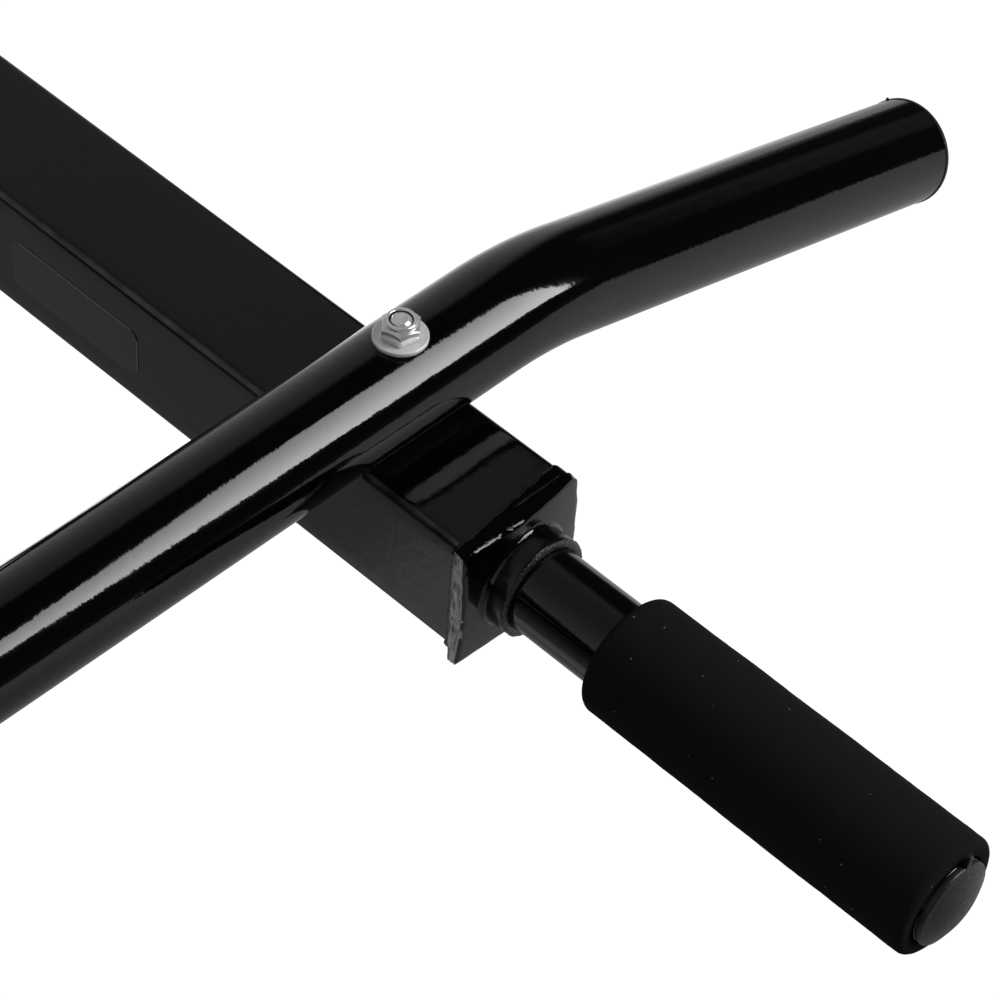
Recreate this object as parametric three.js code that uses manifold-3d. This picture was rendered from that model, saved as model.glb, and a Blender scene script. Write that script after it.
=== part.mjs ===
// Wall-mounted pull-up bar: two braced arms, a bent main bar bolted across them, and two forward handles.
// Millimetres. +Z is up, +Y points into the wall, +X is to the right of a person who faces the wall.
// The origin lies on the wall surface, midway between the two wall plates and halfway up them.
import * as THREE from "three";
import { mergeVertices } from "three/addons/utils/BufferGeometryUtils.js";
import Module from "manifold-3d";

const wasm = await Module();
wasm.setup();

// ---------------------------------------------------------------- driving dimensions

const FIT_GAP = 0.3; // clearance between a piece and the neighbour that it is shaped around
const ROUND_SIDES = 32; // facets round a tube
const SMALL_SIDES = 24; // facets round a plug, washer or nut

const ARM_SPACING = 560; // centre to centre, also the distance between the two handles
const WALL_TO_BAR = 470; // wall surface to the main bar's axis

const PLATE_WIDTH = 60;
const PLATE_HEIGHT = 440;
const PLATE_THICK = 5;
const PLATE_CORNER = 8;
const ANCHOR_HOLE_RADIUS = 5.5;
const ANCHOR_HOLE_HEIGHTS = [195, 85, -60, -195];

const ARM_SIZE = 40; // square tube
const ARM_WALL = 2.5;
const ARM_CORNER = 4;
const ARM_TOP = 165; // height of the arm's top face
const ARM_PAST_BAR = 44; // from the bar's axis to the arm's front end

const BRACE_SIZE = 30; // square tube, set at 45 degrees
const BRACE_WALL = 2;
const BRACE_FOOT = -140; // height where its centre line meets the wall plate

const BAR_RADIUS = 16;
const BAR_WALL = 2;
const BAR_LET_IN = 1.5; // depth of the cradle that the bar lies in, across the arm's top
const BEND_FROM_ARM = 47.6; // arm centre to the corner of the bend's two centre lines
const BEND_ANGLE = THREE.MathUtils.degToRad(16.1); // the ends drop by this much
const BEND_RADIUS = 110;
const BEND_STEPS = 6;
const BAR_END_LENGTH = 173.5; // from the bend's corner to the end of the tube

const END_PLATE_WIDTH = 44;
const END_PLATE_HEIGHT = 42.4;
const END_PLATE_THICK = 3;

const HANDLE_RADIUS = 12.5;
const HANDLE_WALL = 2;
const HANDLE_LENGTH = 147.2; // from the end plate's front
const HANDLE_LOW = 1; // how far its axis is under the middle of the arm
const COLLAR_RADIUS = 15;
const COLLAR_LENGTH = 9;
const GRIP_RADIUS = 17.5;
const GRIP_START = 38.8; // from the end plate's front
const GRIP_LENGTH = 108;
const GRIP_ROUND = 2.6; // radius of its end edges
const GRIP_ROUND_STEPS = 3;

const PLUG_RIB = 0.8; // how far the ribs stand off a plug's stem
const PLUG_CHAMFER = 0.8;
const PLUG_DOME_RINGS = 4;
const HANDLE_PLUG = { head: 12.8, thick: 1.8, dome: 2.4, stem: 14 };
const BAR_PLUG = { head: 15.9, thick: 1.6, dome: 0.9, stem: 16 };

const BOLT_RADIUS = 3; // M6
const BOLT_HOLE_RADIUS = 3.5;
const BOLT_HEAD_HEIGHT = 4;
const BOLT_END_SUNK = 0.5; // below the nut's rim
const HEX_FLATS = 10; // across flats, bolt head and nut
const HEX_TURN = THREE.MathUtils.degToRad(-16); // how far the tightened nut and head are turned
const WASHER_RADIUS = 7.5;
const WASHER_THICK = 1.2;
const NUT_HEX_HEIGHT = 4.3;
const NUT_HEIGHT = 5.6;
const NUT_RECESS = 3.2; // height of the recess's floor
const CROWN_RADIUS = 4.3; // the nut's rolled top
const CROWN_WALL = 0.4;

const LABEL_LENGTH = 56;
const LABEL_HEIGHT = 20;
const LABEL_THICK = 0.25;
const LABEL_CORNER = 5;
const LABEL_BEHIND_BAR = 107; // label centre, from the bar's axis towards the wall

// ---------------------------------------------------------------- derived places

const BAR_Y = -WALL_TO_BAR;
const BAR_Z = ARM_TOP - BAR_LET_IN + BAR_RADIUS;
const ARM_MIDDLE = ARM_TOP - ARM_SIZE / 2;
const ARM_UNDERSIDE = ARM_TOP - ARM_SIZE;
const ARM_FRONT = BAR_Y - ARM_PAST_BAR;
const HANDLE_ROOT = ARM_FRONT - END_PLATE_THICK;
const BAR_TOP = BAR_Z + BAR_RADIUS;
const NUT_SEAT = BAR_TOP + WASHER_THICK;
const HEAD_SEAT = ARM_UNDERSIDE - WASHER_THICK;
const ARM_X = ARM_SPACING / 2;

// ---------------------------------------------------------------- materials

function paint(color, roughness, metalness) {
  return new THREE.MeshStandardMaterial({ color, roughness, metalness });
}

const GLOSS_BLACK = paint(0x0c0c0d, 0.2, 0.1);
const SATIN_BLACK = paint(0x1c1c1d, 0.45, 0.1);
const ZINC = paint(0xc9c9c6, 0.3, 1);
const FOAM = paint(0x0a0a0a, 0.95, 0);
const PLUG_PLASTIC = paint(0x232323, 0.55, 0);
const NYLON = paint(0x161616, 0.6, 0);
const LABEL_FILM = paint(0x262627, 0.3, 0);

// ---------------------------------------------------------------- solids

// A closed three.js geometry as a manifold-3d solid, for joining and cutting.
function solid(geometry) {
  const bare = geometry.clone();
  bare.deleteAttribute("normal");
  bare.deleteAttribute("uv");
  const merged = mergeVertices(bare, 1e-4);
  const mesh = new wasm.Mesh({
    numProp: 3,
    vertProperties: new Float32Array(merged.attributes.position.array),
    triVerts: new Uint32Array(merged.index.array),
  });
  return new wasm.Manifold(mesh);
}

// A manifold-3d solid back as a three.js geometry.
function geometryOf(made) {
  const mesh = made.getMesh();
  const geometry = new THREE.BufferGeometry();
  geometry.setAttribute("position", new THREE.BufferAttribute(mesh.vertProperties, 3));
  geometry.setIndex(new THREE.BufferAttribute(mesh.triVerts, 1));
  geometry.computeVertexNormals();
  return geometry;
}

function cut(geometry, ...tools) {
  return geometryOf(tools.reduce((left, tool) => left.subtract(solid(tool)), solid(geometry)));
}

function join(first, second) {
  return geometryOf(solid(first).add(solid(second)));
}

function roundedRectangle(width, height, radius) {
  const [x, y] = [width / 2 - radius, height / 2 - radius];
  const shape = new THREE.Shape();
  shape.absarc(x, y, radius, 0, Math.PI / 2, false);
  shape.absarc(-x, y, radius, Math.PI / 2, Math.PI, false);
  shape.absarc(-x, -y, radius, Math.PI, 1.5 * Math.PI, false);
  shape.absarc(x, -y, radius, 1.5 * Math.PI, 2 * Math.PI, false);
  return shape;
}

function hexagon(flats) {
  const corner = flats / Math.sqrt(3);
  const points = [];
  for (let i = 0; i < 6; i++) {
    const angle = (i * Math.PI) / 3;
    points.push(new THREE.Vector2(corner * Math.cos(angle), corner * Math.sin(angle)));
  }
  return new THREE.Shape(points);
}

function extruded(shape, depth, curveSegments = 6) {
  return new THREE.ExtrudeGeometry(shape, { depth, bevelEnabled: false, curveSegments });
}

// An extrusion that starts on the plane y = 0 and runs towards the viewer, along -Y.
function extrudedForward(shape, depth, curveSegments) {
  return extruded(shape, depth, curveSegments).rotateX(Math.PI / 2);
}

// A solid of revolution about Y, from [radius, y] pairs.
function turned(profile, sides = ROUND_SIDES) {
  const points = profile.map(([radius, y]) => new THREE.Vector2(radius, y));
  return new THREE.LatheGeometry(points, sides);
}

// A ring about Y between two heights; its profile closes on itself.
function ring(outer, inner, low, high, sides) {
  return turned([[outer, low], [outer, high], [inner, high], [inner, low], [outer, low]], sides);
}

function rod(radius, low, high, sides) {
  return turned([[0, low], [radius, low], [radius, high], [0, high]], sides);
}

function upright(geometry) {
  return geometry.rotateX(Math.PI / 2);
}

// The cutter for the upright bolt's hole, centred on a point and longer than any piece it goes through.
function boltHole(x, y, z) {
  return upright(rod(BOLT_HOLE_RADIUS, -ARM_SIZE, ARM_SIZE, SMALL_SIDES)).translate(x, y, z);
}

// ---------------------------------------------------------------- side frame

function wallPlate() {
  const outline = roundedRectangle(PLATE_WIDTH, PLATE_HEIGHT, PLATE_CORNER);
  for (const height of ANCHOR_HOLE_HEIGHTS) {
    const hole = new THREE.Path();
    hole.absarc(0, height, ANCHOR_HOLE_RADIUS, 0, 2 * Math.PI, true);
    outline.holes.push(hole);
  }
  return extrudedForward(outline, PLATE_THICK, 8);
}

function arm() {
  const section = roundedRectangle(ARM_SIZE, ARM_SIZE, ARM_CORNER);
  const inside = ARM_SIZE - 2 * ARM_WALL;
  section.holes.push(roundedRectangle(inside, inside, ARM_CORNER - ARM_WALL));
  const tube = extrudedForward(section, -ARM_FRONT - PLATE_THICK);
  tube.translate(0, -PLATE_THICK, ARM_MIDDLE);
  const cradle = rod(BAR_RADIUS + FIT_GAP, -ARM_SIZE, ARM_SIZE).rotateZ(Math.PI / 2);
  cradle.translate(0, BAR_Y, BAR_Z);
  return cut(tube, cradle, boltHole(0, BAR_Y, ARM_MIDDLE));
}

// Side view of the brace between the wall plate and the arm's underside, for a tube of the given size.
function braceOutline(size, overrun) {
  const half = size / Math.SQRT2; // half the length of a 45-degree cut
  const foot = -PLATE_THICK + overrun;
  const head = ARM_UNDERSIDE + overrun;
  const shift = BRACE_FOOT - PLATE_THICK; // z + y along the centre line
  return new THREE.Shape([
    new THREE.Vector2(foot, shift - half - foot),
    new THREE.Vector2(foot, shift + half - foot),
    new THREE.Vector2(shift + half - head, head),
    new THREE.Vector2(shift - half - head, head),
  ]);
}

function brace() {
  const across = new THREE.Matrix4().makeBasis(
    new THREE.Vector3(0, 1, 0),
    new THREE.Vector3(0, 0, 1),
    new THREE.Vector3(1, 0, 0),
  );
  const inner = BRACE_SIZE - 2 * BRACE_WALL;
  const outside = extruded(braceOutline(BRACE_SIZE, 0), BRACE_SIZE).translate(0, 0, -BRACE_SIZE / 2);
  const bore = extruded(braceOutline(inner, 10), inner).translate(0, 0, -inner / 2);
  return cut(outside.applyMatrix4(across), bore.applyMatrix4(across));
}

function endPlate() {
  const plate = extrudedForward(roundedRectangle(END_PLATE_WIDTH, END_PLATE_HEIGHT, 1), END_PLATE_THICK, 3);
  return plate.translate(0, ARM_FRONT, ARM_TOP - END_PLATE_HEIGHT / 2);
}

function label() {
  const film = extruded(roundedRectangle(LABEL_LENGTH, LABEL_HEIGHT, LABEL_CORNER), LABEL_THICK);
  film.rotateX(Math.PI / 2).rotateZ(-Math.PI / 2);
  return film.translate(-ARM_SIZE / 2, BAR_Y + LABEL_BEHIND_BAR, ARM_MIDDLE);
}

// ---------------------------------------------------------------- main bar

// Distances along the straight tube at which it needs a ring of vertices, for its right half.
function barStations() {
  const bendStart = ARM_X + BEND_FROM_ARM - BEND_RADIUS * Math.tan(BEND_ANGLE / 2);
  const bendLength = BEND_RADIUS * BEND_ANGLE;
  const straightEnd = BAR_END_LENGTH - BEND_RADIUS * Math.tan(BEND_ANGLE / 2);
  const stations = [];
  for (let i = 0; i <= BEND_STEPS; i++) stations.push(bendStart + (bendLength * i) / BEND_STEPS);
  stations.push(bendStart + bendLength + straightEnd);
  return stations;
}

const STATIONS = barStations();
const BEND_START = STATIONS[0];
const TUBE_HALF_LENGTH = STATIONS[STATIONS.length - 1];

// Where a point of the straight tube along X goes once both ends are bent down.
function bent(point) {
  const along = Math.abs(point.x) - BEND_START;
  if (along <= 0) return point;
  const angle = Math.min(along / BEND_RADIUS, BEND_ANGLE);
  const after = along - angle * BEND_RADIUS;
  const reach = BEND_RADIUS + point.z;
  const x = BEND_START + reach * Math.sin(angle) + after * Math.cos(angle);
  const z = reach * Math.cos(angle) - BEND_RADIUS - after * Math.sin(angle);
  return point.set(Math.sign(point.x) * x, point.y, z);
}

function bentBar() {
  const along = [...STATIONS.map((s) => -s).reverse(), ...STATIONS];
  const outside = along.map((s) => [BAR_RADIUS, s]);
  const inside = along.map((s) => [BAR_RADIUS - BAR_WALL, s]).reverse();
  const tube = turned([...outside, ...inside, outside[0]]).rotateZ(-Math.PI / 2);
  const position = tube.getAttribute("position");
  const point = new THREE.Vector3();
  for (let i = 0; i < position.count; i++) {
    bent(point.fromBufferAttribute(position, i));
    position.setXYZ(i, point.x, point.y, point.z);
  }
  return cut(tube, boltHole(-ARM_X, 0, 0), boltHole(ARM_X, 0, 0));
}

// Push-in plug for a tube's end: a shallow dome on a ribbed stem. It points along -Y from the tube's end.
function tubePlug({ head, thick, dome, stem }, bore) {
  const rib = bore - FIT_GAP;
  const core = rib - PLUG_RIB;
  const face = head - PLUG_CHAMFER;
  const profile = [];
  for (let i = 0; i < PLUG_DOME_RINGS; i++) {
    const share = i / PLUG_DOME_RINGS;
    profile.push([face * share, -thick - dome * (1 - share * share)]);
  }
  profile.push([face, -thick], [head, PLUG_CHAMFER - thick], [head, 0], [core, 0]);
  for (const share of [0.3, 0.75]) {
    const y = share * stem;
    profile.push([core, y - PLUG_RIB], [rib, y], [core, y + PLUG_RIB]);
  }
  profile.push([core, stem], [0, stem]);
  return turned(profile, SMALL_SIDES);
}

// ---------------------------------------------------------------- handle

function handleTube() {
  return ring(HANDLE_RADIUS, HANDLE_RADIUS - HANDLE_WALL, -HANDLE_LENGTH, 0);
}

function collar() {
  return ring(COLLAR_RADIUS, HANDLE_RADIUS + FIT_GAP, -COLLAR_LENGTH, 0);
}

function foamGrip() {
  const inner = HANDLE_RADIUS + FIT_GAP;
  const far = -GRIP_START - GRIP_LENGTH;
  const edge = []; // [radius, distance from the end] round one rounded edge
  for (let i = 0; i <= GRIP_ROUND_STEPS; i++) {
    const angle = (i / GRIP_ROUND_STEPS) * (Math.PI / 2);
    edge.push([GRIP_RADIUS - GRIP_ROUND * (1 - Math.sin(angle)), GRIP_ROUND * (1 - Math.cos(angle))]);
  }
  const farEdge = edge.map(([radius, inset]) => [radius, far + inset]);
  const nearEdge = edge.map(([radius, inset]) => [radius, -GRIP_START - inset]).reverse();
  return turned([[inner, far], ...farEdge, ...nearEdge, [inner, -GRIP_START], [inner, far]]);
}

// ---------------------------------------------------------------- fasteners, upright about Z from z = 0

function washer() {
  return upright(ring(WASHER_RADIUS, BOLT_RADIUS + FIT_GAP, 0, WASHER_THICK, SMALL_SIDES));
}

// Rounds the corners of a hexagonal head at its top, as a turned chamfer does.
function chamfered(hex, height) {
  const wide = HEX_FLATS / Math.sqrt(3) + 1; // just clear of the corners
  const flat = HEX_FLATS / 2;
  const envelope = turned([[0, -1], [wide, -1], [wide, height - 1.2], [flat - 0.4, height], [0, height]]);
  return solid(hex).intersect(solid(upright(envelope)));
}

// A hexagon with a rolled crown on top, which holds the nylon insert in a recess above the thread.
function lockNut() {
  const hex = chamfered(extruded(hexagon(HEX_FLATS), NUT_HEX_HEIGHT), NUT_HEX_HEIGHT);
  const rim = NUT_HEIGHT - 0.6;
  const thread = BOLT_RADIUS + FIT_GAP;
  const recess = CROWN_RADIUS - CROWN_WALL;
  const mouth = recess - CROWN_WALL;
  const crown = turned(
    [[0, 1], [CROWN_RADIUS, 1], [CROWN_RADIUS, rim], [CROWN_RADIUS - 0.5, NUT_HEIGHT], [0, NUT_HEIGHT]],
    SMALL_SIDES,
  );
  const bore = turned(
    [
      [0, -1], [thread, -1], [thread, NUT_RECESS], [recess, NUT_RECESS], [recess, rim],
      [mouth, NUT_HEIGHT - 0.1], [mouth, NUT_HEIGHT + 1], [0, NUT_HEIGHT + 1],
    ],
    SMALL_SIDES,
  );
  return geometryOf(hex.add(solid(upright(crown))).subtract(solid(upright(bore))));
}

function nylonInsert() {
  const outer = CROWN_RADIUS - CROWN_WALL - 0.2;
  return upright(ring(outer, BOLT_RADIUS + 0.2, NUT_RECESS + 0.2, NUT_HEIGHT - 0.8, SMALL_SIDES));
}

// The bolt stands on its head, whose underside is at z = 0.
function bolt(length) {
  const head = geometryOf(chamfered(extruded(hexagon(HEX_FLATS), BOLT_HEAD_HEIGHT), BOLT_HEAD_HEIGHT));
  head.rotateX(Math.PI);
  const tip = BOLT_RADIUS - 0.7;
  const shoulder = length - 0.7;
  const shank = turned(
    [[0, -1], [BOLT_RADIUS, -1], [BOLT_RADIUS, shoulder], [tip, length], [0, length]],
    SMALL_SIDES,
  );
  return join(head, upright(shank));
}

// ---------------------------------------------------------------- assembly

const pullUpBar = new THREE.Group();

function place(parent, name, geometry, material, x = 0, y = 0, z = 0) {
  const mesh = new THREE.Mesh(geometry, material.clone());
  mesh.name = name;
  mesh.position.set(x, y, z);
  parent.add(mesh);
  return mesh;
}

place(pullUpBar, "main_bar", bentBar(), GLOSS_BLACK, 0, BAR_Y, BAR_Z);

for (const [side, sign] of [["left", -1], ["right", 1]]) {
  const frame = new THREE.Group();
  frame.position.x = sign * ARM_X;
  pullUpBar.add(frame);
  place(frame, `wall_plate_${side}`, wallPlate(), SATIN_BLACK);
  place(frame, `arm_${side}`, arm(), SATIN_BLACK);
  place(frame, `brace_${side}`, brace(), SATIN_BLACK);
  place(frame, `end_plate_${side}`, endPlate(), GLOSS_BLACK);

  const handle = new THREE.Group();
  handle.position.set(0, HANDLE_ROOT, ARM_MIDDLE - HANDLE_LOW);
  frame.add(handle);
  place(handle, `collar_${side}`, collar(), GLOSS_BLACK);
  place(handle, `handle_tube_${side}`, handleTube(), GLOSS_BLACK);
  place(handle, `foam_grip_${side}`, foamGrip(), FOAM);
  const handlePlug = tubePlug(HANDLE_PLUG, HANDLE_RADIUS - HANDLE_WALL);
  place(handle, `handle_plug_${side}`, handlePlug, PLUG_PLASTIC, 0, -HANDLE_LENGTH, 0);

  const boltLength = NUT_SEAT + NUT_HEIGHT - BOLT_END_SUNK - HEAD_SEAT;
  place(frame, `bolt_${side}`, bolt(boltLength), ZINC, 0, BAR_Y, HEAD_SEAT).rotation.z = HEX_TURN;
  place(frame, `head_washer_${side}`, washer(), ZINC, 0, BAR_Y, HEAD_SEAT);
  place(frame, `nut_washer_${side}`, washer(), ZINC, 0, BAR_Y, BAR_TOP);
  place(frame, `lock_nut_${side}`, lockNut(), ZINC, 0, BAR_Y, NUT_SEAT).rotation.z = HEX_TURN;
  place(frame, `nylon_insert_${side}`, nylonInsert(), NYLON, 0, BAR_Y, NUT_SEAT);

  const barPlug = tubePlug(BAR_PLUG, BAR_RADIUS - BAR_WALL);
  const endPlug = place(pullUpBar, `bar_end_plug_${side}`, barPlug, PLUG_PLASTIC, 0, BAR_Y, BAR_Z);
  endPlug.position.add(bent(new THREE.Vector3(sign * TUBE_HALF_LENGTH, 0, 0)));
  endPlug.rotation.set(0, sign * BEND_ANGLE, (sign * Math.PI) / 2, "YXZ");
}

place(pullUpBar, "arm_label", label(), LABEL_FILM, ARM_X);

export default pullUpBar;
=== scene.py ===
"""Looks of the wall-mounted pull up bar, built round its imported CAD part.

Shapes are worked out in millimetres in the row frame (+Z up, +Y into the wall, +X right) and stored in metres.
The right side is modelled; the left one is its mirror image, except the fasteners, which are only moved.
"""

import math
from functools import reduce

import bmesh
import bpy
from mathutils import Matrix, Vector, noise


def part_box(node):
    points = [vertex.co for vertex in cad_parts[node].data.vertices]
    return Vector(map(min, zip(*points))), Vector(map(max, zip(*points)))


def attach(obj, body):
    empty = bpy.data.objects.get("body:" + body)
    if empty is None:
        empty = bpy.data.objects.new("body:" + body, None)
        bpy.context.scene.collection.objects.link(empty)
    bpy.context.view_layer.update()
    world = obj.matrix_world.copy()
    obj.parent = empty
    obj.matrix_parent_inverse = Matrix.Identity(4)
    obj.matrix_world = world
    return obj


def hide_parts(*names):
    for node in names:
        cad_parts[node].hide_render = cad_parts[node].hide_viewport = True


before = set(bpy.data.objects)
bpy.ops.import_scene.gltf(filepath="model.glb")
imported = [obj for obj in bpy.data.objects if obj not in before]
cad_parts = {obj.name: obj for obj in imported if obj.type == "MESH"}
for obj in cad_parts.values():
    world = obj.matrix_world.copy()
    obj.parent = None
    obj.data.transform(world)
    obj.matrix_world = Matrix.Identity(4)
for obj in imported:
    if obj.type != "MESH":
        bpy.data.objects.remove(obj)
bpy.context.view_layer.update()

MM = 0.001
MERGE = 1e-4  # points of a mesh nearer than this become one, in mm


def box(node):
    low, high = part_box(node)
    return low / MM, high / MM


# ------------------------------------------------------------------ places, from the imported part

arm_low, arm_high = box("arm_right")
ARM_X = (arm_low.x + arm_high.x) / 2
ARM_HALF = (arm_high.x - arm_low.x) / 2
ARM_TOP, ARM_UNDER = arm_high.z, arm_low.z
ARM_Z = ARM_TOP - ARM_HALF
ARM_REAR, ARM_FRONT = arm_high.y, arm_low.y

bar_low, bar_high = box("main_bar")
BAR_RADIUS = (bar_high.y - bar_low.y) / 2
BAR_Y = (bar_high.y + bar_low.y) / 2
BAR_Z = bar_high.z - BAR_RADIUS

plate_low, plate_high = box("end_plate_right")
ROOT_Y = plate_low.y  # front of the end plate, where the handle starts
tube_low, tube_high = box("handle_tube_right")
TUBE_RADIUS = (tube_high.x - tube_low.x) / 2
TUBE_LENGTH = ROOT_Y - tube_low.y
HANDLE_Z = (tube_high.z + tube_low.z) / 2
collar_low, collar_high = box("collar_right")
COLLAR_RADIUS = (collar_high.x - collar_low.x) / 2
COLLAR_END = collar_low.y
grip_low, grip_high = box("foam_grip_right")
GRIP_RADIUS = (grip_high.x - grip_low.x) / 2
wall_low, wall_high = box("wall_plate_right")
washer_low, washer_high = box("nut_washer_right")
head_washer_low, head_washer_high = box("head_washer_right")
label_low, label_high = box("arm_label")

# What a box can't give: the bar's bend, the brace's slope and the holes, as in the part's source.
BEND = math.radians(16.1)
BEND_START = 312.0
BEND_RADIUS = 110.0
BAR_TAIL = 173.5  # from where the two straight centre lines would meet to the end
BAR_END = BEND_START + BEND_RADIUS * (BEND - math.tan(BEND / 2)) + BAR_TAIL  # along the bar from its middle
TUBE_WALL, ARM_WALL = 2.0, 2.5  # the first one is that of bar, braces and handles
BRACE_HALF = 15.0
BRACE_LINE = -145.0  # z + y along the brace's centre line
ANCHOR_RADIUS, ANCHOR_HEIGHTS = 5.5, (195, 85, -60, -195)

FORWARD = Matrix(((1, 0, 0, 0), (0, 0, -1, 0), (0, 1, 0, 0), (0, 0, 0, 1)))  # local z to -Y, local y up
UP = Matrix.Identity(4)


def at(x, y, z, turn=UP):
    return Matrix.Translation((x, y, z)) @ turn


CORNER = 2.6  # of the arm's square tube
PLATE_FACE = ROOT_Y + 0.9  # the end plate's front at its corners, before it bulges
PLATE_FALL = 0.3  # slope of its top, which falls forwards
FASTENER_Y = BAR_Y - 0.85  # bolt and hole are a little in front of the bar's middle
BOLT_HOLE = 3.5  # radius
SAG = math.radians(0.37)  # the pull of its weld lets the handle hang by this much
HANDLE = at(ARM_X, ROOT_Y, HANDLE_Z, FORWARD @ Matrix.Rotation(SAG, 4, "X"))


# ------------------------------------------------------------------ mesh tools


def ring_faces(rings, count, closed=False, capped=False):
    """Quads between rings of count points each. closed joins the last ring to the first, capped fills both."""
    faces = []
    for i in range(rings if closed else rings - 1):
        a, b = i * count, ((i + 1) % rings) * count
        for j in range(count):
            k = (j + 1) % count
            faces.append((a + j, a + k, b + k, b + j))
    if capped:
        faces.append(tuple(reversed(range(count))))
        faces.append(tuple(range((rings - 1) * count, rings * count)))
    return faces


def mesh_of(name, points, faces, place=UP, mirror=False, crease=35):
    """A closed mesh in metres from points in millimetres, with outward normals and smooth shading up to crease."""
    bm = bmesh.new()
    made = [bm.verts.new(place @ Vector(p)) for p in points]
    for face in faces:
        bm.faces.new([made[i] for i in face])
    bmesh.ops.remove_doubles(bm, verts=bm.verts, dist=MERGE)
    bmesh.ops.dissolve_degenerate(bm, dist=MERGE, edges=bm.edges)
    flip = -1 if mirror else 1
    for v in bm.verts:
        v.co = Vector((v.co.x * flip, v.co.y, v.co.z)) * MM
    bmesh.ops.recalc_face_normals(bm, faces=bm.faces)
    mesh = bpy.data.meshes.new(name)
    bm.to_mesh(mesh)
    bm.free()
    smooth(mesh, crease)
    return mesh


def lofted(name, rings, capped=False, mirror=False, crease=35):
    """A mesh through rings of points: a solid with capped ends, or else a tube whose last ring meets its first."""
    points = [p for ring in rings for p in ring]
    faces = ring_faces(len(rings), len(rings[0]), closed=not capped, capped=capped)
    return mesh_of(name, points, faces, mirror=mirror, crease=crease)


def smooth(mesh, crease):
    for polygon in mesh.polygons:
        polygon.use_smooth = True
    mesh.set_sharp_from_angle(angle=math.radians(crease))


def in_scene(name, data):
    o = bpy.data.objects.new(name, data)
    bpy.context.scene.collection.objects.link(o)
    return o


def combined(mesh, others, operation="DIFFERENCE", crease=35):
    """The mesh with other closed meshes cut out of it, or added to it by UNION, as one closed mesh."""
    body = in_scene("body", mesh)
    tools = [in_scene("tool", other) for other in others]
    for tool in tools:
        step = body.modifiers.new("combine", "BOOLEAN")
        step.operation, step.solver, step.object = operation, "EXACT", tool
    graph = bpy.context.evaluated_depsgraph_get()
    made = bpy.data.meshes.new_from_object(body.evaluated_get(graph), depsgraph=graph)
    for o in [body, *tools]:
        bpy.data.objects.remove(o)
    smooth(made, crease)
    return made


def piece(name, mesh, material, slot, *stands_for):
    """Adds a mesh to the scene as a named piece that rides on the part."""
    mesh.name = name
    o = in_scene(name, mesh)
    mesh.materials.clear()
    mesh.materials.append(material)
    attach(o, "root")
    if stands_for:
        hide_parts(*stands_for)
    return o


def rounded(profile, steps=3):
    """A closed profile of (radius, along, corner radius) with its corners rounded, as (radius, along) pairs."""
    out, n = [], len(profile)
    for i, (*point, corner) in enumerate(profile):
        p = Vector(point)
        if corner <= 0:
            out.append(tuple(p))
            continue
        before = Vector(profile[i - 1][:2]) - p
        after = Vector(profile[(i + 1) % n][:2]) - p
        half = before.angle(after) / 2
        reach = min(corner / math.tan(half), before.length * 0.49, after.length * 0.49)
        a, b = p + before.normalized() * reach, p + after.normalized() * reach
        centre = p + (before.normalized() + after.normalized()).normalized() * (reach / math.cos(half))
        start, end = a - centre, b - centre
        for k in range(steps + 1):
            share = k / steps
            out.append(tuple(centre + (start * (1 - share) + end * share).normalized() * start.length))
    return out


def spaced(profile, step):
    """The closed profile with points added so that none are further apart than step."""
    out = []
    for i, p in enumerate(profile):
        q = profile[(i + 1) % len(profile)]
        n = max(1, math.ceil(math.dist(p, q) / step))
        out += [(p[0] + (q[0] - p[0]) * k / n, p[1] + (q[1] - p[1]) * k / n) for k in range(n)]
    return out


def turned(name, profile, sides, place, mirror=False, shape=None, closed=True):
    """A solid of revolution from (radius, along) pairs. shape(radius, along, angle) may move a point."""
    points = []
    for radius, along in profile:
        for j in range(sides):
            angle = 2 * math.pi * j / sides
            r, z = shape(radius, along, angle) if shape else (radius, along)
            points.append((r * math.cos(angle), r * math.sin(angle), z))
    faces = ring_faces(len(profile), sides, closed=closed)
    return mesh_of(name, points, faces, place, mirror)


def round_square(half_x, half_z, corner, per_corner=8, per_flat=6):
    """Points and outward directions round a rounded rectangle, anticlockwise from +X, +Z."""
    out = []
    centres = [(1, 1, 0), (-1, 1, 90), (-1, -1, 180), (1, -1, 270)]
    for k, (sx, sz, first) in enumerate(centres):
        cx, cz = sx * (half_x - corner), sz * (half_z - corner)
        for i in range(per_corner + 1):
            angle = math.radians(first + 90 * i / per_corner)
            out.append((cx + corner * math.cos(angle), cz + corner * math.sin(angle), angle))
        nx, nz, turn = centres[(k + 1) % 4]
        angle = math.radians(first + 90)
        x1, z1 = nx * (half_x - corner) + corner * math.cos(angle), nz * (half_z - corner) + corner * math.sin(angle)
        x0, z0, _ = out[-1]
        for i in range(1, per_flat):
            share = i / per_flat
            out.append((x0 + (x1 - x0) * share, z0 + (z1 - z0) * share, angle))
    return out


def rough(point, size, seed=0.0):
    """Smooth noise from about -1 to 1 with features of the given size in millimetres."""
    return 1.6 * noise.noise(Vector(point) / size + Vector((seed, 3.7 * seed, -seed)))


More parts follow.
